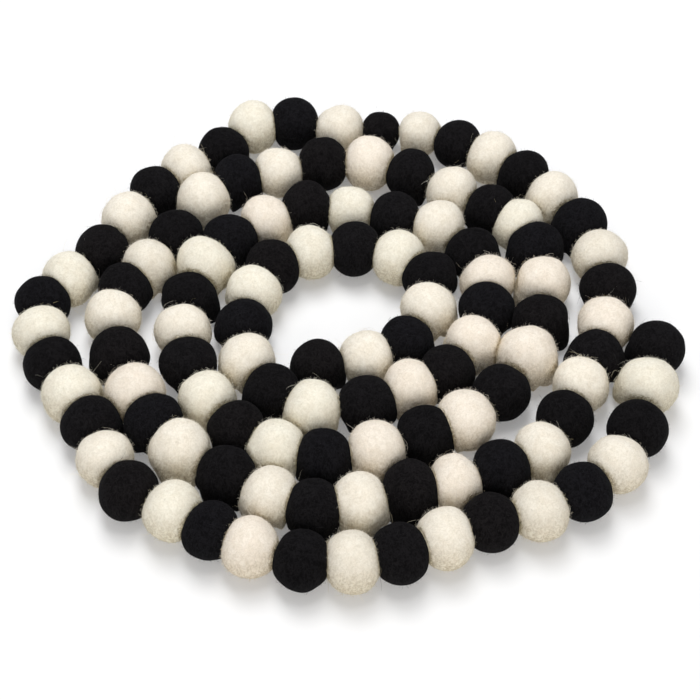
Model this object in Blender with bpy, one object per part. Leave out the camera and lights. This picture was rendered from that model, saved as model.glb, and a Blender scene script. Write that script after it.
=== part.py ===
"""Pom-pom garland: felted wool balls, black and ivory by turns, close together on one hidden string.

The string lies in a loose flat coil on the surface, from its outer end at the right, round the front,
the left and the back, and inwards to its inner end in the middle. Every ball is pressed flat where it
meets a neighbour, on the string or in the next turn of the coil, and where it rests on the surface.
Metres, +Z up. The origin is under the middle of the coil, on the surface that it lies on.
"""
import random

import bmesh
import bpy
from mathutils import Matrix, Vector

MM = 0.001

# The balls. A ball is a little shorter along the string, where its neighbours press it.
BALL_COUNT = 111
BALL_SIZE = 25.4 * MM
ALONG_STRING = 0.94
SIZE_SPREAD = 0.02
SIZE_SEED = 11
FOOT_PRESS = 0.5 * MM
GAP = 0.3 * MM
REACH_PAST_PRESS = 1.1
NEIGHBOUR_REACH = 1.2 * BALL_SIZE

# A ball's facets: sides round the string, bands from pole to pole, and how far their corners stand
# outside the round ball, so that flats and corners lie evenly on both sides of it.
SIDES = 10
BANDS = 6
CORNER_STAND = 1.03
CUT_TOLERANCE = 0.0001 * MM
WELD_DISTANCE = 0.02 * MM
SHARP_ANGLE = 0.6

# The route's own coordinates have the middle of the coil here.
COIL_MIDDLE = (-0.4 * MM, -0.2 * MM)

# The string's route on the surface: ball, x in mm, y in mm. A row stands wherever the string bends.
OUTER_TURN = [
    (0, 135, -16), (3, 112, -77), (5, 78, -100), (6, 58, -105), (8, 21, -120), (10, -18, -123), (11, -39, -117),
    (13, -71, -100), (14, -90, -90), (15, -101, -74), (16, -108, -57), (18, -128, -25), (20, -136, 10),
    (22, -112, 40), (23, -102, 61), (25, -77, 92), (26, -60, 104), (27, -46, 121), (29, -4, 120), (30, 16, 121),
    (33, 69, 100), (35, 96, 74), (37, 115, 37),
]
SECOND_TURN = [
    (40, 108, -21), (41, 100, -36), (43, 81, -70), (45, 44, -86), (46, 26, -90), (47, 5, -96), (48, -14, -99),
    (50, -50, -82), (51, -70, -70), (52, -82, -56), (53, -91, -41), (55, -104, 2), (58, -79, 49), (59, -68, 73),
    (61, -33, 91), (63, 10, 96), (65, 49, 78), (66, 67, 66), (67, 79, 57),
]
THIRD_TURN = [
    (71, 78, -21), (73, 50, -55), (74, 33, -62), (76, -10, -74), (78, -47, -59), (80, -69, -25), (84, -54, 46),
    (86, -19, 67), (88, 22, 61), (89, 42, 55), (90, 57, 39), (92, 62, 6),
]
INNER_TURN = [
    (94, 43, -29), (95, 27, -37), (96, 8, -46), (97, -15, -49), (99, -44, -23), (101, -42, 16), (102, -34, 31),
    (104, 3, 42), (106, 37, 25), (108, 26, -12), (110, -13, -25),
]
ROUTE = OUTER_TURN + SECOND_TURN + THIRD_TURN + INNER_TURN

# Balls that are clearly larger or smaller than the rest: ball, size against an ordinary one.
ODD_SIZES = {
    1: 1.06, 29: 0.95, 30: 0.76, 31: 0.88, 32: 0.95, 45: 0.95, 51: 1.05, 53: 1.06, 61: 0.95, 63: 1.05, 71: 1.08,
    73: 1.05, 83: 1.07, 84: 1.05, 87: 0.94, 108: 0.96, 109: 0.92, 110: 0.94,
}

# Base colour, roughness and metallic value of each felt.
FELTS = {
    "felt_black": ((0.012, 0.012, 0.014, 1.0), 0.95, 0.0),
    "felt_ivory": ((0.80, 0.75, 0.65, 1.0), 0.95, 0.0),
}


def route_slopes(rows):
    """The string's way per ball at each row, from the stretches on its two sides."""
    stretches = []
    for start, end in zip(rows, rows[1:]):
        balls = end[0] - start[0]
        stretches.append((balls, Vector((end[1] - start[1], end[2] - start[2])) / balls))
    slopes = [stretches[0][1]]
    for (before, way_in), (after, way_out) in zip(stretches, stretches[1:]):
        slopes.append((way_in * after + way_out * before) / (before + after))
    slopes.append(stretches[-1][1])
    return slopes


def route_place(ball, rows, slopes):
    """Place of a ball on the smooth curve through the rows, in metres, about the coil's middle."""
    last = len(rows) - 2
    k = max(i for i in range(last + 1) if i == 0 or rows[i][0] <= ball)
    length = rows[k + 1][0] - rows[k][0]
    u = (ball - rows[k][0]) / length
    start = Vector(rows[k][1:])
    end = Vector(rows[k + 1][1:])
    place = start * (2 * u**3 - 3 * u**2 + 1) + end * (3 * u**2 - 2 * u**3)
    place += slopes[k] * length * (u**3 - 2 * u**2 + u) + slopes[k + 1] * length * (u**3 - u**2)
    return place * MM - Vector(COIL_MIDDLE)


class Ball:
    """One felt ball: its radius across the string, its half length along it, its centre and its way."""

    def __init__(self, index, radius, place):
        self.index = index
        self.radius = radius
        self.centre = Vector((place.x, place.y, radius - FOOT_PRESS))
        self.way = Vector((1, 0, 0))
        self.half_length = radius * ALONG_STRING

    def felt(self):
        return "felt_black" if self.index % 2 == 0 else "felt_ivory"

    def follow(self, before, after):
        """Point the ball along the string, and let it reach past the faces that press it."""
        self.way = (after.centre - before.centre).normalized()
        for other in (before, after):
            if other is not self:
                press = (other.centre - self.centre).length / 2
                self.half_length = max(self.half_length, press * REACH_PAST_PRESS)

    def frame(self):
        """Poles along the string, and one line of corners straight down."""
        down = Vector((0, 0, -1))
        way = Vector((self.way.x, self.way.y, 0)).normalized()
        side = way.cross(down)
        turn = Matrix((down, side, way)).transposed()
        across = self.radius * CORNER_STAND
        stretch = Matrix.Diagonal((across, across, self.half_length * CORNER_STAND))
        return (turn @ stretch).to_4x4()


def make_balls():
    sizes = random.Random(SIZE_SEED)
    slopes = route_slopes(ROUTE)
    balls = []
    for index in range(BALL_COUNT):
        spread = 1 + sizes.uniform(-SIZE_SPREAD, SIZE_SPREAD)
        radius = BALL_SIZE / 2 * ODD_SIZES.get(index, spread)
        balls.append(Ball(index, radius, route_place(index, ROUTE, slopes)))
    for index, ball in enumerate(balls):
        ball.follow(balls[max(index - 1, 0)], balls[min(index + 1, BALL_COUNT - 1)])
    return balls


def press_planes(ball, balls, joined_to):
    """Planes that flatten the ball, as (point from its centre, outward normal)."""
    planes = [(Vector((0, 0, -ball.centre.z)), Vector((0, 0, -1)))]
    for other in balls:
        if other is ball or other is joined_to:
            continue
        apart = other.centre - ball.centre
        if apart.length > NEIGHBOUR_REACH:
            continue
        share = ball.radius / (ball.radius + other.radius)
        normal = apart.normalized()
        planes.append((normal * (apart.length * share - GAP / 2), normal))
    return planes


def ball_mesh(ball, planes):
    """A round ball drawn to its size, with a flat face at each plane that presses it."""
    bm = bmesh.new()
    bmesh.ops.create_uvsphere(bm, u_segments=SIDES, v_segments=BANDS, radius=1.0, matrix=ball.frame())
    for point, normal in planes:
        whole = bm.verts[:] + bm.edges[:] + bm.faces[:]
        bmesh.ops.bisect_plane(
            bm, geom=whole, plane_co=point, plane_no=normal, clear_outer=True, dist=CUT_TOLERANCE
        )
        open_edges = [edge for edge in bm.edges if edge.is_boundary]
        bmesh.ops.holes_fill(bm, edges=open_edges, sides=0)
    bmesh.ops.remove_doubles(bm, verts=bm.verts, dist=WELD_DISTANCE)
    bmesh.ops.recalc_face_normals(bm, faces=bm.faces)
    mesh = bpy.data.meshes.new(f"ball_{ball.index:03d}")
    bm.to_mesh(mesh)
    bm.free()
    return mesh


def add_ball(name, ball, planes, collection, felts):
    mesh = ball_mesh(ball, planes)
    mesh.materials.append(felts[ball.felt()])
    mesh.shade_smooth()
    mesh.set_sharp_from_angle(angle=SHARP_ANGLE)
    obj = bpy.data.objects.new(name, mesh)
    obj.location = ball.centre
    collection.objects.link(obj)
    return obj


def add_pair(name, first, second, balls, parts, joiners, felts):
    """Two neighbours on the string as one solid: the second is joined to the first where they press."""
    pair = add_ball(name, first, press_planes(first, balls, second), parts, felts)
    joiner = add_ball(name + "_joiner", second, press_planes(second, balls, first), joiners, felts)
    joiner.hide_render = True
    joiner.display_type = "WIRE"
    join = pair.modifiers.new("Join", "BOOLEAN")
    join.operation = "UNION"
    join.solver = "EXACT"
    join.material_mode = "TRANSFER"
    join.object = joiner
    return pair


def make_felts():
    felts = {}
    for name, (colour, roughness, metallic) in FELTS.items():
        felt = bpy.data.materials.new(name)
        felt.use_nodes = True
        shader = felt.node_tree.nodes["Principled BSDF"]
        shader.inputs["Base Color"].default_value = colour
        shader.inputs["Roughness"].default_value = roughness
        shader.inputs["Metallic"].default_value = metallic
        felts[name] = felt
    return felts


def new_collection(name):
    collection = bpy.data.collections.new(name)
    bpy.context.scene.collection.children.link(collection)
    return collection


def main():
    for obj in list(bpy.data.objects):
        bpy.data.objects.remove(obj)
    parts = new_collection("Pom-pom garland")
    joiners = new_collection("Joining bodies")
    felts = make_felts()
    balls = make_balls()
    for number, start in enumerate(range(0, BALL_COUNT - 1, 2), 1):
        add_pair(f"pair_{number:02d}", balls[start], balls[start + 1], balls, parts, joiners, felts)
    last = balls[-1]
    add_ball("end_ball", last, press_planes(last, balls, None), parts, felts)


main()
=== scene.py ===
"""Looks of the pom-pom garland: pressed felt balls with their fuzz, two felts, and a plain studio."""
import math
import random

import bmesh
import bpy
import numpy as np
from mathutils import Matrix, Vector


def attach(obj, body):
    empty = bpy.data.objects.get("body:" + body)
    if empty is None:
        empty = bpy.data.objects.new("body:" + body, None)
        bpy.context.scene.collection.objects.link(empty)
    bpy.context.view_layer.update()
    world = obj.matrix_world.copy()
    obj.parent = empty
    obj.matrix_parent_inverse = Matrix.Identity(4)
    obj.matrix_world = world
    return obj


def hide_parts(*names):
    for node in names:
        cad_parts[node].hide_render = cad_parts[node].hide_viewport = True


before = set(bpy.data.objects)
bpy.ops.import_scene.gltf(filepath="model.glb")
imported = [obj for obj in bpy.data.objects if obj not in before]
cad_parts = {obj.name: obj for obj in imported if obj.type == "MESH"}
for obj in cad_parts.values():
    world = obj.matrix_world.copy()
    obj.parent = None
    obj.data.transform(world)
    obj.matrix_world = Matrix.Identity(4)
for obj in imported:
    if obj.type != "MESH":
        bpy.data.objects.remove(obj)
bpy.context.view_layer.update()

MM = 0.001

# The balls, as the solids have them. A ball is a little shorter along the string.
BALL_COUNT = 111
BALL_SIZE = 25.4 * MM
ALONG_STRING = 0.94
SIZE_SPREAD = 0.02
SIZE_SEED = 11
FOOT_PRESS = 0.5 * MM
REACH_PAST_PRESS = 1.1
NEIGHBOUR_REACH = 1.2 * BALL_SIZE

# Softer than the solids: how far a pressed face lies past the plane between two balls, and the longest that
# a ball's half length gets, against its radius.
SINK = 1.2 * MM
LONGEST = 1.02

# The route's own coordinates have the middle of the coil here.
COIL_MIDDLE = (-0.4, -0.2)

# The string's route on the surface: ball, x in mm, y in mm. A row stands wherever the string bends.
OUTER_TURN = [
    (0, 135, -16), (3, 112, -77), (5, 78, -100), (6, 58, -105), (8, 21, -120), (10, -18, -123),
    (11, -39, -117), (13, -71, -100), (14, -90, -90), (15, -101, -74), (16, -108, -57), (18, -128, -25),
    (20, -136, 10), (22, -112, 40), (23, -102, 61), (25, -77, 92), (26, -60, 104), (27, -46, 121),
    (29, -4, 120), (30, 16, 121), (33, 69, 100), (35, 96, 74), (37, 115, 37),
]
SECOND_TURN = [
    (40, 108, -21), (41, 100, -36), (43, 81, -70), (45, 44, -86), (46, 26, -90), (47, 5, -96),
    (48, -14, -99), (50, -50, -82), (51, -70, -70), (52, -82, -56), (53, -91, -41), (55, -104, 2),
    (58, -79, 49), (59, -68, 73), (61, -33, 91), (63, 10, 96), (65, 49, 78), (66, 67, 66), (67, 79, 57),
]
THIRD_TURN = [
    (71, 78, -21), (73, 50, -55), (74, 33, -62), (76, -10, -74), (78, -47, -59), (80, -69, -25),
    (84, -54, 46), (86, -19, 67), (88, 22, 61), (89, 42, 55), (90, 57, 39), (92, 62, 6),
]
INNER_TURN = [
    (94, 43, -29), (95, 27, -37), (96, 8, -46), (97, -15, -49), (99, -44, -23), (101, -42, 16),
    (102, -34, 31), (104, 3, 42), (106, 37, 25), (108, 26, -12), (110, -13, -25),
]
ROUTE = OUTER_TURN + SECOND_TURN + THIRD_TURN + INNER_TURN

# Turns of the coil: name, first ball, first ball past it.
TURNS = [("outer", 0, 40), ("second", 40, 70), ("third", 70, 94), ("inner", 94, 111)]

# Balls that are clearly larger or smaller than the rest: ball, size against an ordinary one.
ODD_SIZES = {
    1: 1.06, 29: 0.95, 30: 0.76, 31: 0.88, 32: 0.95, 45: 0.95, 51: 1.05, 53: 1.06, 61: 0.95, 63: 1.05,
    71: 1.08, 73: 1.05, 83: 1.07, 84: 1.05, 87: 0.94, 108: 0.96, 109: 0.92, 110: 0.94,
}

# The visible surface: quads along a side of each ball's cube grid, how softly a pressed face and the foot
# round over into the ball, and a tiny number in place of one that is zero or less.
GRID = 14
PRESS_SHARPNESS = 12.0
FOOT_SHARPNESS = 45.0
TINY = 1e-6

# Lumps of hand-rolled felt, as (wavelength, height), the waves in one pattern of them, and the step between
# the patterns' seeds.
LUMPS = [(19.0 * MM, 0.24 * MM), (8.0 * MM, 0.07 * MM)]
LUMP_WAVES = 14
LUMP_SEED_STEP = 1000

# The bulge into a closed gap beside a ball: how far it comes out, how near it lies to both balls of the gap
# (1 is straight at them), the height on the ball under which it starts (-1 is the foot), the height over
# which it grows, and the height over which it fades at the foot.
BULGE = 4.5 * MM
BULGE_START = 0.45
BULGE_TOP = 0.0
BULGE_GROWTH = 0.6
BULGE_FADE = 0.25

# Painted shade in the felt's colour, where shade falls at the pressed rims between balls and low down: how
# near a pressed rim it starts, how steeply it goes on, the height on the ball under which it starts low down,
# and the share of that.
CREASE_SHADE_START = 0.83
CREASE_SHADE_CURVE = 1.5
LOW_SHADE_START = 0.7
LOW_SHADE_SHARE = 0.42

# The photograph's view: the camera's angle, distance, lens and sensor width, and the point it looks at.
CAMERA_PITCH = 52.0
CAMERA_DISTANCE = 732.8 * MM
CAMERA_LENS = 86.3
CAMERA_SENSOR = 36.0
LOOK_AT = (1.4 * MM, -16.8 * MM, 12.5 * MM)


class Ball:
    """One felt ball: radius across the string, half length along it, centre and way."""

    def __init__(self, index, radius, place):
        self.index = index
        self.radius = radius
        self.half_length = radius * ALONG_STRING
        self.centre = np.array((place[0], place[1], radius - FOOT_PRESS))
        self.way = None
        self.presses = []
        self.gaps = []

    def is_black(self):
        return self.index % 2 == 0


def route_slopes(rows):
    """The string's way per ball at each row, from the stretches on its two sides."""
    stretches = []
    for start, end in zip(rows, rows[1:]):
        balls = end[0] - start[0]
        stretches.append((balls, (np.array(end[1:]) - start[1:]) / balls))
    slopes = [stretches[0][1]]
    for (before, way_in), (after, way_out) in zip(stretches, stretches[1:]):
        slopes.append((way_in * after + way_out * before) / (before + after))
    slopes.append(stretches[-1][1])
    return slopes


def route_place(ball, rows, slopes):
    """Place of a ball on the smooth curve through the rows, in metres, about the coil's middle."""
    last = len(rows) - 2
    k = max(i for i in range(last + 1) if i == 0 or rows[i][0] <= ball)
    length = rows[k + 1][0] - rows[k][0]
    u = (ball - rows[k][0]) / length
    start = np.array(rows[k][1:], float)
    end = np.array(rows[k + 1][1:], float)
    place = start * (2 * u**3 - 3 * u**2 + 1) + end * (3 * u**2 - 2 * u**3)
    place += slopes[k] * length * (u**3 - 2 * u**2 + u) + slopes[k + 1] * length * (u**3 - u**2)
    return (place - COIL_MIDDLE) * MM


def apart(first, second):
    return np.linalg.norm(second.centre - first.centre)


def gaps_beside(ball, balls):
    """Pairs of neighbours with a closed gap beside the ball: they touch, or a ball behind closes it."""
    near = [other for other in balls if other is not ball and apart(ball, other) < NEIGHBOUR_REACH]
    gaps = []
    for count, first in enumerate(near):
        for second in near[count + 1 :]:
            middle = first.centre + second.centre - 2 * ball.centre
            behind = [
                other for other in balls
                if other not in (ball, first, second) and apart(first, other) < NEIGHBOUR_REACH
                and apart(second, other) < NEIGHBOUR_REACH and (other.centre - ball.centre) @ middle > 0
            ]
            if apart(first, second) < NEIGHBOUR_REACH or behind:
                gaps.append((first.centre - ball.centre, second.centre - ball.centre))
    return gaps


def follow_string(ball, before, after):
    """Point the ball along the string, and let it reach past the faces that press it there."""
    way = after.centre - before.centre
    way[2] = 0.0
    ball.way = way / np.linalg.norm(way)
    for other in (before, after):
        if other is not ball:
            half_way = apart(ball, other) / 2
            ball.half_length = max(ball.half_length, half_way * REACH_PAST_PRESS)
    ball.half_length = min(ball.half_length, ball.radius * LONGEST)


def note_presses(ball, balls):
    """Keep with the ball what presses it flat, as (outward normal, distance, sharpness)."""
    ball.presses.append((np.array((0.0, 0.0, -1.0)), ball.centre[2], FOOT_SHARPNESS))
    for other in balls:
        offset = other.centre - ball.centre
        length = np.linalg.norm(offset)
        if other is ball or length > NEIGHBOUR_REACH:
            continue
        share = ball.radius / (ball.radius + other.radius)
        ball.presses.append((offset / length, length * share + SINK, PRESS_SHARPNESS))


def make_balls():
    """All balls in their places on the string, with their sizes, ways, presses and gaps."""
    sizes = random.Random(SIZE_SEED)
    slopes = route_slopes(ROUTE)
    balls = []
    for index in range(BALL_COUNT):
        spread = 1 + sizes.uniform(-SIZE_SPREAD, SIZE_SPREAD)
        radius = BALL_SIZE / 2 * ODD_SIZES.get(index, spread)
        balls.append(Ball(index, radius, route_place(index, ROUTE, slopes)))
    for index, ball in enumerate(balls):
        follow_string(ball, balls[max(index - 1, 0)], balls[min(index + 1, BALL_COUNT - 1)])
        ball.gaps = gaps_beside(ball, balls)
        note_presses(ball, balls)
    return balls


def unit(rows):
    """The same directions, each of length one."""
    return rows / np.linalg.norm(rows, axis=1)[:, None]


def sphere_grid(steps):
    """Directions and quads of a cube grid blown up to a round ball, evenly spaced."""
    bm = bmesh.new()
    bmesh.ops.create_cube(bm, size=2.0)
    bmesh.ops.subdivide_edges(bm, edges=bm.edges[:], cuts=steps - 1, use_grid_fill=True)
    corners = np.array([v.co for v in bm.verts])
    quads = np.array([[v.index for v in f.verts] for f in bm.faces])
    bm.free()
    return unit(np.tan(corners * math.pi / 4)), quads


def waves(places, wavelength, seed):
    """Smooth noise of about unit height: a sum of waves in random directions."""
    rng = np.random.default_rng(seed)
    ways = rng.normal(size=(LUMP_WAVES, 3))
    ways *= 2 * math.pi / wavelength / np.linalg.norm(ways, axis=1)[:, None]
    turns = rng.uniform(0, 2 * math.pi, LUMP_WAVES)
    return np.cos(places @ ways.T + turns).sum(axis=1) * math.sqrt(2 / LUMP_WAVES)


def free_reach(ball, directions):
    """How far the ball would reach each way with nothing pressing it, lumps included."""
    along = directions @ ball.way
    reach = 1 / np.sqrt((along / ball.half_length) ** 2 + (1 - along**2) / ball.radius**2)
    for order, (wavelength, height) in enumerate(LUMPS):
        seed = LUMP_SEED_STEP * order + ball.index
        reach = reach + height * waves(directions * ball.radius, wavelength, seed)
    return reach + bulge(ball, directions)


def bulge(ball, directions):
    """How far the felt is pushed out, below its middle, into the closed gaps beside the ball."""
    height = directions[:, 2]
    level = directions[:, :2] / np.maximum(np.linalg.norm(directions[:, :2], axis=1), TINY)[:, None]
    near = np.zeros(len(directions))
    for offsets in ball.gaps:
        both = [level @ offset[:2] / np.linalg.norm(offset[:2]) for offset in offsets]
        near = np.maximum(near, np.minimum(*both))
    share = np.clip((near - BULGE_START) / (1 - BULGE_START), 0, 1)
    share = share**2 * (3 - 2 * share)
    grown = np.clip((BULGE_TOP - height) / BULGE_GROWTH, 0, 1)
    faded = np.clip((height + 1.0) / BULGE_FADE, 0, 1)
    return BULGE * share * grown * faded


def pressed_reach(ball, directions):
    """How far the ball reaches each way once its neighbours and the surface have pressed it flat."""
    reach = free_reach(ball, directions)
    for normal, distance, sharpness in ball.presses:
        towards = np.maximum(directions @ normal, TINY)
        reach = (reach**-sharpness + (towards / distance) ** sharpness) ** (-1 / sharpness)
    return reach


def painted_shade_share(ball, directions):
    """How much painted shade each place gets: 0 on the open felt, 1 at a pressed rim, and less than that low
    down.
    """
    near = np.zeros(len(directions))
    for normal, distance, _ in ball.presses:
        near = np.maximum(near, directions @ normal * ball.radius / distance)
    crease_shade = np.clip((near - CREASE_SHADE_START) / (1 - CREASE_SHADE_START), 0, 1)
    low = np.clip((LOW_SHADE_START - directions[:, 2]) / (LOW_SHADE_START + 1), 0, 1)
    return np.clip(crease_shade**CREASE_SHADE_CURVE + LOW_SHADE_SHARE * low, 0, 1)


def build_mesh(name, places, faces, tints, smooth, painted_shades=None):
    mesh = bpy.data.meshes.new(name)
    mesh.from_pydata(places.tolist(), [], faces)
    # The share of painted shade per point, which the felt's colour reads.
    if painted_shades is not None:
        mesh.attributes.new("depth", "FLOAT", "POINT").data.foreach_set("value", painted_shades)
    tint = mesh.attributes.new("tint", "FLOAT_COLOR", "POINT")
    tint.data.foreach_set("color", np.column_stack([tints, np.ones(len(tints))]).ravel())
    if smooth:
        mesh.shade_smooth()
    obj = bpy.data.objects.new(name, mesh)
    bpy.context.scene.collection.objects.link(obj)
    return obj


# Tints of the balls, against the felt's own colour, the ivory balls with a tint and those a little darker all
# over, the black balls' step from one tint to the next, and how much lighter or darker a ball may be.
CREAM = (1.0, 1.0, 1.0)
ROSY = (1.01, 0.985, 0.985)
GREENISH = (0.985, 1.0, 0.985)
DARKER = (0.935, 0.935, 0.93)
ROSY_BALLS = (11, 39, 45, 53, 63, 69, 71, 73, 75, 85, 91, 93, 95)
GREENISH_BALLS = (1, 13, 17, 19, 21, 27, 67, 77, 79, 83, 87, 97, 101, 103, 105)
DARKER_BALLS = (5, 9, 31, 37, 57)
BLACK_TINTS = [(1.0, 1.0, 1.0), (1.08, 1.04, 1.0), (0.96, 1.0, 1.08), (0.88, 0.88, 0.88)]
BLACK_TINT_STEP = 7
LIGHTNESS_SPREAD = 0.02


def ball_tint(ball):
    if ball.is_black():
        tint = BLACK_TINTS[ball.index // 2 * BLACK_TINT_STEP % len(BLACK_TINTS)]
    elif ball.index in ROSY_BALLS:
        tint = ROSY
    elif ball.index in GREENISH_BALLS:
        tint = GREENISH
    elif ball.index in DARKER_BALLS:
        tint = DARKER
    else:
        tint = CREAM
    lightness = np.random.default_rng(ball.index).uniform(1 - LIGHTNESS_SPREAD, 1 + LIGHTNESS_SPREAD)
    return np.array(tint) * lightness


def ball_piece(name, members, directions, quads):
    """One mesh of many balls."""
    places, faces, tints, painted_shades = [], [], [], []
    for number, ball in enumerate(members):
        surface = ball.centre + directions * pressed_reach(ball, directions)[:, None]
        places.append(surface)
        faces.append(quads + number * len(directions))
        tints.append(np.tile(ball_tint(ball), (len(directions), 1)))
        # Painted shade: the share of darker, warmer colour at the pressed rims and low down.
        painted_shades.append(painted_shade_share(ball, directions))
    places, faces, tints, painted_shades = (np.concatenate(rows) for rows in (places, faces, tints, painted_shades))
    return build_mesh(name, places, faces.tolist(), tints, True, painted_shades)


class Hair:
    """A kind of hair: how many on a ball or in a tuft, the share of them at the pressed rims, their least and
    most length, the bends in one, half its width, its least and most lift off the felt in degrees, and its
    curl in degrees from root to tip."""

    def __init__(self, count, rim_share, lengths, bends, half_width, lifts, curl):
        self.count = count
        self.rim_share = rim_share
        self.lengths = lengths
        self.bends = bends
        self.half_width = half_width
        self.lifts = lifts
        self.curl = curl


# The fuzz of each felt: short hairs all over it, and longer ones.
FUZZ = {
    "ivory": [
        Hair(1600, 0.30, (0.8 * MM, 2.5 * MM), 3, 0.039 * MM, (10.0, 68.0), 190.0),
        Hair(45, 0.40, (4.0 * MM, 10.0 * MM), 6, 0.045 * MM, (8.0, 38.0), -85.0),
    ],
    "black": [
        Hair(520, 0.45, (0.8 * MM, 2.5 * MM), 3, 0.039 * MM, (10.0, 68.0), 190.0),
        Hair(16, 0.50, (3.5 * MM, 8.0 * MM), 6, 0.045 * MM, (8.0, 32.0), -75.0),
    ],
}

# Tufts, where curled hairs gather at a rim: per ball on average, the hairs in one, how far they spread over
# the ball, the rim places that a tuft's own is chosen from, and the height on the ball that it is above.
TUFTS = {"ivory": 2.2, "black": 0.6}
TUFT_HAIR = Hair(16, 1.0, (2.0 * MM, 4.6 * MM), 6, 0.048 * MM, (25.0, 80.0), 340.0)
TUFT_SPREAD = 0.10
TUFT_PLACES = 40
TUFT_LOWEST = 0.1

# Where hairs grow: the height on the ball that they are above, the share of a ball's free reach that is left
# where a rim starts and where it ends, and the directions tried in one go, for each hair and besides.
LOWEST_HAIR = -0.75
RIM_START = 0.985
RIM_DEEPEST = 0.93
TRIES_PER_HAIR = 6
MORE_TRIES = 60

# A hair's root in the felt, the spread of its bending axis and of its curl, how much narrower it gets, its
# lightness against its ball's, and the painted shade its colour gets at the pressed rims and low down.
HAIR_ROOT = 0.08 * MM
AXIS_SPREAD = 0.6
CURL_SPREAD = 0.6
NARROWING = 0.5
DARKEST_HAIR = 0.65
LIGHTEST_HAIR = 1.15
HAIR_SHADE = (1.0, 0.90, 0.58)


def hair_roots(ball, count, rim_share, rng):
    """Directions of hair roots: all over the free felt, and more of them at the pressed rims."""
    rims, plains = np.empty((0, 3)), np.empty((0, 3))
    rim_count = int(round(count * rim_share))
    while len(rims) < rim_count or len(plains) < count - rim_count:
        ways = unit(rng.normal(size=(TRIES_PER_HAIR * count + MORE_TRIES, 3)))
        share = pressed_reach(ball, ways) / free_reach(ball, ways)
        shown = (share > RIM_DEEPEST) & (ways[:, 2] > LOWEST_HAIR)
        rim = shown & (share < RIM_START)
        rims = np.concatenate([rims, ways[rim]])
        plains = np.concatenate([plains, ways[shown & ~rim]])
    return np.concatenate([rims[:rim_count], plains[: count - rim_count]])


def tuft_roots(ball, count, rng):
    """Directions of hair roots close together round one place at a pressed rim of the upper half."""
    rims = hair_roots(ball, TUFT_PLACES, 1.0, rng)
    middle = rims[np.argmax(rims[:, 2] > TUFT_LOWEST)]
    return unit(middle + TUFT_SPREAD * rng.normal(size=(count, 3)))


def hairs(ball, hair, ways, rng):
    """Points of one kind of hair on one ball, a row for each: both edges of a thin strip, then the tip."""
    count = len(ways)
    bends = hair.bends
    roots = ball.centre + ways * (pressed_reach(ball, ways) - HAIR_ROOT)[:, None]
    side = unit(np.cross(ways, rng.normal(size=(count, 3))))
    lift = np.radians(rng.uniform(*hair.lifts, count))[:, None]
    heading = side * np.cos(lift) + ways * np.sin(lift)
    length = rng.uniform(*hair.lengths, count)[:, None]
    axis = unit(np.cross(heading, ways) + AXIS_SPREAD * rng.normal(size=(count, 3)))
    places = [roots]
    headings = [heading]
    for _ in range(bends):
        curls = rng.normal(hair.curl, CURL_SPREAD * abs(hair.curl), count)
        angle = np.radians(curls / bends)[:, None]
        heading = unit(heading * np.cos(angle) + np.cross(axis, heading) * np.sin(angle))
        places.append(places[-1] + heading * length / bends)
        headings.append(heading)
    corners = []
    turn = rng.uniform(0, math.pi, count)[:, None]
    for step in range(bends):
        across = unit(np.cross(headings[step], axis))
        across = across * np.cos(turn) + np.cross(across, headings[step]) * np.sin(turn)
        half_width = hair.half_width * (1 - NARROWING * step / bends)
        corners.extend([places[step] - half_width * across, places[step] + half_width * across])
    corners.append(places[-1])
    points = np.stack(corners, axis=1)
    points[:, :, 2] = np.maximum(points[:, :, 2], 0.0)
    return points


def hair_faces(bends):
    """Faces of one strip: a row of quads, then the tip."""
    quads = [(low, low + 1, low + 3, low + 2) for low in range(0, 2 * (bends - 1), 2)]
    return quads + [(2 * bends - 2, 2 * bends - 1, 2 * bends)]


def fuzz_piece(name, members, colour, seed):
    """One mesh of all the hairs on many balls."""
    rng = np.random.default_rng(seed)
    places, faces, tints = [], [], []
    start = 0
    for ball in members:
        batches = [(hair, hair_roots(ball, hair.count, hair.rim_share, rng)) for hair in FUZZ[colour]]
        for _ in range(rng.poisson(TUFTS[colour])):
            batches.append((TUFT_HAIR, tuft_roots(ball, TUFT_HAIR.count, rng)))
        for hair, ways in batches:
            points = hairs(ball, hair, ways, rng)
            count, corners = points.shape[:2]
            places.append(points.reshape(-1, 3))
            lightness = rng.uniform(DARKEST_HAIR, LIGHTEST_HAIR, count)[:, None]
            # Painted shade: hairs are darker and warmer at the pressed rims and low down.
            hair_shade = 1 - painted_shade_share(ball, ways)[:, None] * (1 - np.array(HAIR_SHADE))
            tints.append(np.repeat(ball_tint(ball) * lightness * hair_shade, corners, axis=0))
            pattern = hair_faces(hair.bends)
            for base in range(start, start + count * corners, corners):
                faces.extend([tuple(base + corner for corner in face) for face in pattern])
            start += count * corners
    return build_mesh(name, np.concatenate(places), faces, np.concatenate(tints), False)


def new_material(name):
    material = bpy.data.materials.new(name)
    material.use_nodes = True
    return material, material.node_tree, material.node_tree.nodes["Principled BSDF"]


def add_node(tree, kind, inputs=(), **settings):
    node = tree.nodes.new(kind)
    for key, value in settings.items():
        setattr(node, key, value)
    for key, value in dict(inputs).items():
        node.inputs[key].default_value = value
    return node


# A Mix node's sockets in their order: its two numbers, its two colours, and the colour it gives.
NUMBER_A, NUMBER_B = 2, 3
COLOUR_A, COLOUR_B = 6, 7
MIXED_COLOUR = 2

# Felt's lines as (scale, width in the noise's own height): coarse and fine fibres, wrinkles and creases.
COARSE_FIBRES = (400.0, 0.065)
FINE_FIBRES = (780.0, 0.060)
WRINKLES = (210.0, 0.10)
CREASES = (480.0, 0.090)
LINE_NOISE = {"Detail": 2.0, "Roughness": 0.5, "Distortion": 0.8}
NOISE_MIDDLE = 0.5

# How much shorter a pattern of lines is made along Z, which draws its lines out upright.
UPRIGHT = 0.4
CREASE_UPRIGHT = 0.9

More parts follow.
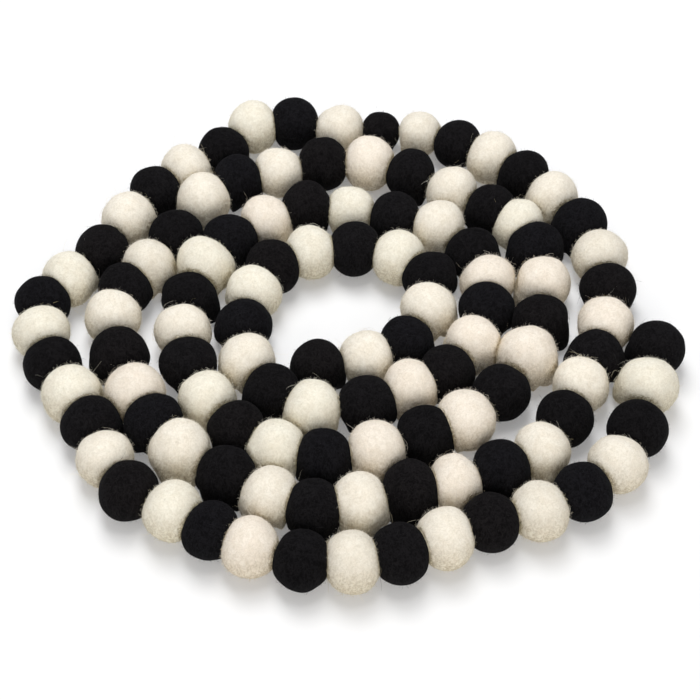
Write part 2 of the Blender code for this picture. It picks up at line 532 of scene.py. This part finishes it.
# The felt's flecks and patches, and the heights of each noise that give its darkest and lightest tone.
FLECKS = {"Scale": 1100.0, "Detail": 2.0, "Roughness": 0.6, "Distortion": 1.0}
PATCHES = {"Scale": 190.0, "Detail": 2.0, "Roughness": 0.5, "Distortion": 0.5}
FIBRE_TONES = {"From Min": 0.18, "From Max": 0.72}
PATCH_TONES = {"From Min": 0.35, "From Max": 0.65}

# The relief: the shares of flecks and wrinkles in it, how deep a crease sinks, and how strong relief and the
# creases' painted shade are on the open felt and from which share of painted shade on they are strongest.
FLECK_SHARE = 0.5
WRINKLE_SHARE = 0.45
CREASE_DEPTH = 0.5
RELIEF_STRENGTH = {"From Max": 0.30, "To Min": 0.12, "To Max": 0.70}

# How each felt looks. Fibres and hollows have a colour on the open felt and a painted shade where it lies
# deep.
# The hollows are darker grain with painted shade in them; the creases colour is painted shade in the thin
# creases.
FELTS = {
    "ivory": {
        "fibres": ((0.900, 0.848, 0.752), (0.92, 0.82, 0.51)),
        "hollows": ((0.805, 0.755, 0.655), (0.58, 0.46, 0.21)),
        "patches": (0.965, 0.95, 0.93),
        "creases": (0.46, 0.375, 0.24),
        "relief": 1.20 * MM,
        "sheen": 0.05,
        "sheen_tint": (1.0, 0.97, 0.9),
        "hair": (0.87, 0.82, 0.725),
    },
    "black": {
        "fibres": ((0.0100, 0.0094, 0.0103), (0.0100, 0.0094, 0.0103)),
        "hollows": ((0.0027, 0.0025, 0.0027), (0.0027, 0.0025, 0.0027)),
        "patches": (0.86, 0.86, 0.88),
        "creases": (0.85, 0.85, 0.85),
        "relief": 0.18 * MM,
        "sheen": 0.008,
        "sheen_tint": (0.9, 0.9, 1.0),
        "hair": (0.020, 0.019, 0.020),
    },
}
FELT_ROUGHNESS = 1.0
FELT_SPECULAR = 0.05
SHEEN_ROUGHNESS = 0.6
HAIR_ROUGHNESS = 0.8
HAIR_SPECULAR = 0.1


def fibre_lines(tree, place, pattern, upright=UPRIGHT):
    """Thin winding lines, like fibres that lie in the felt: 1 on a line and 0 between them."""
    scale, width = pattern
    link = tree.links.new
    drawn_out = add_node(tree, "ShaderNodeMapping", {"Scale": (1.0, 1.0, upright)})
    link(place.outputs["Object"], drawn_out.inputs["Vector"])
    noise = add_node(tree, "ShaderNodeTexNoise", {"Scale": scale, **LINE_NOISE})
    link(drawn_out.outputs["Vector"], noise.inputs["Vector"])
    off_middle = add_node(tree, "ShaderNodeMath", operation="SUBTRACT")
    off_middle.inputs[1].default_value = NOISE_MIDDLE
    link(noise.outputs["Fac"], off_middle.inputs[0])
    size = add_node(tree, "ShaderNodeMath", operation="ABSOLUTE")
    link(off_middle.outputs[0], size.inputs[0])
    fall = {"From Min": 0.0, "From Max": width, "To Min": 1.0, "To Max": 0.0}
    line = add_node(tree, "ShaderNodeMapRange", fall)
    link(size.outputs[0], line.inputs["Value"])
    return line.outputs["Result"]


def painted_shading(tree, open_colour, painted_shade_colour, depth):
    """A colour that changes from the open felt to its painted shade at the pressed rims between the balls and
    low down.
    """
    mix = add_node(tree, "ShaderNodeMix", data_type="RGBA")
    mix.inputs[COLOUR_A].default_value = (*open_colour, 1)
    mix.inputs[COLOUR_B].default_value = (*painted_shade_colour, 1)
    tree.links.new(depth.outputs["Fac"], mix.inputs["Factor"])
    return mix.outputs[MIXED_COLOUR]


def fibre_colour(tree, look, relief, depth):
    """The colour of the fibres and of the darker hollows between them, grain with painted shade in the
    hollows, and painted shade at the pressed rims and low down.
    """
    link = tree.links.new
    tone = add_node(tree, "ShaderNodeMapRange", FIBRE_TONES)
    link(relief, tone.inputs["Value"])
    mix = add_node(tree, "ShaderNodeMix", data_type="RGBA")
    link(painted_shading(tree, *look["hollows"], depth), mix.inputs[COLOUR_A])
    link(painted_shading(tree, *look["fibres"], depth), mix.inputs[COLOUR_B])
    link(tone.outputs["Result"], mix.inputs["Factor"])
    return mix.outputs[MIXED_COLOUR]


def patch_colour(tree, look, place):
    """Soft patches, white and the felt's patch colour, to multiply its colour by."""
    link = tree.links.new
    patches = add_node(tree, "ShaderNodeTexNoise", PATCHES)
    link(place.outputs["Object"], patches.inputs["Vector"])
    tone = add_node(tree, "ShaderNodeMapRange", PATCH_TONES)
    link(patches.outputs["Fac"], tone.inputs["Value"])
    mix = add_node(tree, "ShaderNodeMix", data_type="RGBA")
    mix.inputs[COLOUR_A].default_value = (1, 1, 1, 1)
    mix.inputs[COLOUR_B].default_value = (*look["patches"], 1)
    link(tone.outputs["Result"], mix.inputs["Factor"])
    return mix.outputs[MIXED_COLOUR]


def matted_fibres(tree, place):
    """The height of the matted fibres: winding lines of two sizes, and flecks."""
    link = tree.links.new
    flecks = add_node(tree, "ShaderNodeTexNoise", FLECKS)
    link(place.outputs["Object"], flecks.inputs["Vector"])
    lines = add_node(tree, "ShaderNodeMath", operation="MAXIMUM")
    link(fibre_lines(tree, place, COARSE_FIBRES), lines.inputs[0])
    link(fibre_lines(tree, place, FINE_FIBRES), lines.inputs[1])
    relief = add_node(tree, "ShaderNodeMix", {"Factor": FLECK_SHARE}, data_type="FLOAT")
    link(lines.outputs[0], relief.inputs[NUMBER_A])
    link(flecks.outputs["Fac"], relief.inputs[NUMBER_B])
    return relief.outputs[0]


def felt_relief(tree, look, place, relief, creases, strength):
    """The bump of fibres, wrinkles and sunken creases."""
    link = tree.links.new
    height = add_node(tree, "ShaderNodeMix", {"Factor": WRINKLE_SHARE}, data_type="FLOAT")
    link(relief, height.inputs[NUMBER_A])
    link(fibre_lines(tree, place, WRINKLES), height.inputs[NUMBER_B])
    sunk = add_node(tree, "ShaderNodeMath", operation="MULTIPLY_ADD")
    sunk.inputs[1].default_value = -CREASE_DEPTH
    link(creases, sunk.inputs[0])
    link(height.outputs[0], sunk.inputs[2])
    bump = add_node(tree, "ShaderNodeBump", {"Distance": look["relief"]})
    link(strength, bump.inputs["Strength"])
    link(sunk.outputs[0], bump.inputs["Height"])
    return bump.outputs["Normal"]


def felt_material(name, look):
    """Wool felt: soft patches of colour, matted winding fibres with hollows and thin creases, painted shade
    in the hollows, creases, pressed rims and low down, and a sheen.
    """
    material, tree, shader = new_material(name)
    link = tree.links.new
    place = add_node(tree, "ShaderNodeTexCoord")
    # Painted shade at the pressed rims and low down, as a share per point of the ball.
    depth = add_node(tree, "ShaderNodeAttribute", attribute_name="depth")
    tint = add_node(tree, "ShaderNodeAttribute", attribute_name="tint")
    relief = matted_fibres(tree, place)

    strength = add_node(tree, "ShaderNodeMapRange", RELIEF_STRENGTH)
    link(depth.outputs["Fac"], strength.inputs["Value"])
    creases = fibre_lines(tree, place, CREASES, CREASE_UPRIGHT)
    # Painted shade in the thin creases, stronger at the pressed rims and low down.
    crease_shade_share = add_node(tree, "ShaderNodeMath", operation="MULTIPLY")
    link(creases, crease_shade_share.inputs[0])
    link(strength.outputs["Result"], crease_shade_share.inputs[1])

    patched = add_node(tree, "ShaderNodeMix", {"Factor": 1.0}, data_type="RGBA", blend_type="MULTIPLY")
    link(fibre_colour(tree, look, relief, depth), patched.inputs[COLOUR_A])
    link(patch_colour(tree, look, place), patched.inputs[COLOUR_B])
    # The creases colour darkens the felt along the creases: painted shade.
    crease_shaded = add_node(tree, "ShaderNodeMix", data_type="RGBA", blend_type="MULTIPLY")
    link(crease_shade_share.outputs[0], crease_shaded.inputs["Factor"])
    link(patched.outputs[MIXED_COLOUR], crease_shaded.inputs[COLOUR_A])
    crease_shaded.inputs[COLOUR_B].default_value = (*look["creases"], 1)
    tinted = add_node(tree, "ShaderNodeMix", {"Factor": 1.0}, data_type="RGBA", blend_type="MULTIPLY")
    link(crease_shaded.outputs[MIXED_COLOUR], tinted.inputs[COLOUR_A])
    link(tint.outputs["Color"], tinted.inputs[COLOUR_B])
    link(tinted.outputs[MIXED_COLOUR], shader.inputs["Base Color"])

    normal = felt_relief(tree, look, place, relief, creases, strength.outputs["Result"])
    link(normal, shader.inputs["Normal"])
    shader.inputs["Roughness"].default_value = FELT_ROUGHNESS
    shader.inputs["Specular IOR Level"].default_value = FELT_SPECULAR
    shader.inputs["Sheen Weight"].default_value = look["sheen"]
    shader.inputs["Sheen Roughness"].default_value = SHEEN_ROUGHNESS
    shader.inputs["Sheen Tint"].default_value = (*look["sheen_tint"], 1)
    return material


def hair_material(name, colour):
    """Wool hairs in the felt's colour, each with its own tint, which holds painted shade at the pressed rims
    and low down.
    """
    material, tree, shader = new_material(name)
    tint = add_node(tree, "ShaderNodeAttribute", attribute_name="tint")
    tinted = add_node(tree, "ShaderNodeMix", {"Factor": 1.0}, data_type="RGBA", blend_type="MULTIPLY")
    tinted.inputs[COLOUR_A].default_value = (*colour, 1)
    tree.links.new(tint.outputs["Color"], tinted.inputs[COLOUR_B])
    tree.links.new(tinted.outputs[MIXED_COLOUR], shader.inputs["Base Color"])
    shader.inputs["Roughness"].default_value = HAIR_ROUGHNESS
    shader.inputs["Specular IOR Level"].default_value = HAIR_SPECULAR
    return material


def nodes_of(first, past):
    """The frame's nodes that hold these balls."""
    names = [f"pair_{start // 2 + 1:02d}" for start in range(first, min(past, BALL_COUNT - 1), 2)]
    return names + (["end_ball"] if past == BALL_COUNT else [])


def dress(balls):
    """All pieces of the garland, each with its felt."""
    felts = {colour: felt_material(f"{colour} felt", look) for colour, look in FELTS.items()}
    hair = {colour: hair_material(f"{colour} hair", look["hair"]) for colour, look in FELTS.items()}
    directions, quads = sphere_grid(GRID)
    for turn, first, past in TURNS:
        nodes = nodes_of(first, past)
        for colour, offset in (("black", 0), ("ivory", 1)):
            members = balls[first + offset : past : 2]
            piece = ball_piece(f"{colour}_balls_{turn}", members, directions, quads)
            piece.data.materials.append(felts[colour])
            finish_piece(piece, nodes)
            piece = fuzz_piece(f"{colour}_fuzz_{turn}", members, colour, first + offset)
            piece.data.materials.append(hair[colour])
            finish_piece(piece, nodes)


def finish_piece(piece, nodes):
    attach(piece, "root")
    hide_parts(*nodes)


# The studio: a floor with a faint glow, a room that is brighter straight above than at the horizon, and the
# lights as (name, place, size, energy, colour), aimed at one point.
FLOOR_SIZE = 24.0
FLOOR_COLOUR = (0.71, 0.71, 0.715)
FLOOR_GLOW = (1.0, 1.0, 1.01)
FLOOR_GLOW_STRENGTH = 0.21
ROOM_COLOUR = (0.99, 0.995, 1.0)
ROOM_AT_HORIZON = 0.12
ROOM_MORE_ABOVE = 0.55
ROOM_CURVE = 2.0
LIGHTS = [
    ("key", (-0.10, 0.42, 0.97), 0.55, 6.4, (0.99, 0.995, 1.0)),
    ("overhead", (0.0, 0.05, 1.30), 0.40, 3.4, (0.99, 0.995, 1.0)),
    ("fill", (0.15, -1.10, 0.50), 0.9, 5.6, (1.0, 0.955, 0.88)),
]
LIT_POINT = (0, 0, 0)


def add_area_light(name, place, size, energy, colour):
    light = bpy.data.lights.new(name, "AREA")
    light.shape = "DISK"
    light.size = size
    light.energy = energy
    light.color = colour
    obj = bpy.data.objects.new(name, light)
    obj.location = place
    obj.rotation_euler = (Vector(LIT_POINT) - Vector(place)).to_track_quat("-Z", "Y").to_euler()
    bpy.context.scene.collection.objects.link(obj)


def white_room():
    """A white room that is brightest straight above, as under a large soft box."""
    world = bpy.data.worlds.new("white room")
    world.use_nodes = True
    tree = world.node_tree
    link = tree.links.new
    way = add_node(tree, "ShaderNodeTexCoord")
    parts = add_node(tree, "ShaderNodeSeparateXYZ")
    up = add_node(tree, "ShaderNodeMath", operation="MAXIMUM")
    up.inputs[1].default_value = 0.0
    bend = add_node(tree, "ShaderNodeMath", operation="POWER")
    bend.inputs[1].default_value = ROOM_CURVE
    brightness = {"To Min": ROOM_AT_HORIZON, "To Max": ROOM_AT_HORIZON + ROOM_MORE_ABOVE}
    strength = add_node(tree, "ShaderNodeMapRange", brightness)
    link(way.outputs["Generated"], parts.inputs[0])
    link(parts.outputs["Z"], up.inputs[0])
    link(up.outputs[0], bend.inputs[0])
    link(bend.outputs[0], strength.inputs["Value"])
    background = tree.nodes["Background"]
    background.inputs["Color"].default_value = (*ROOM_COLOUR, 1)
    link(strength.outputs["Result"], background.inputs["Strength"])
    return world


def add_floor():
    bpy.ops.mesh.primitive_plane_add(size=FLOOR_SIZE, location=(0, 0, 0))
    floor = bpy.context.active_object
    floor.name = "floor"
    paper, _, shader = new_material("white paper")
    shader.inputs["Base Color"].default_value = (*FLOOR_COLOUR, 1)
    shader.inputs["Emission Color"].default_value = (*FLOOR_GLOW, 1)
    shader.inputs["Emission Strength"].default_value = FLOOR_GLOW_STRENGTH
    shader.inputs["Roughness"].default_value = 1.0
    shader.inputs["Specular IOR Level"].default_value = 0.0
    floor.data.materials.append(paper)


def add_camera():
    """The camera at the photograph's viewing angle."""
    scene = bpy.context.scene
    camera = bpy.data.cameras.new("camera")
    camera.lens = CAMERA_LENS
    camera.sensor_width = CAMERA_SENSOR
    obj = bpy.data.objects.new("camera", camera)
    pitch = math.radians(CAMERA_PITCH)
    back = Vector((0, -math.cos(pitch), math.sin(pitch)))
    obj.location = Vector(LOOK_AT) + back * CAMERA_DISTANCE
    obj.rotation_euler = (math.pi / 2 - pitch, 0, 0)
    scene.collection.objects.link(obj)
    scene.camera = obj


def studio():
    """White floor, white surroundings, soft lights above, behind and in front, and the camera."""
    scene = bpy.context.scene
    add_floor()
    scene.world = white_room()
    for light in LIGHTS:
        add_area_light(*light)
    scene.view_settings.view_transform = "Standard"
    add_camera()


studio()
dress(make_balls())
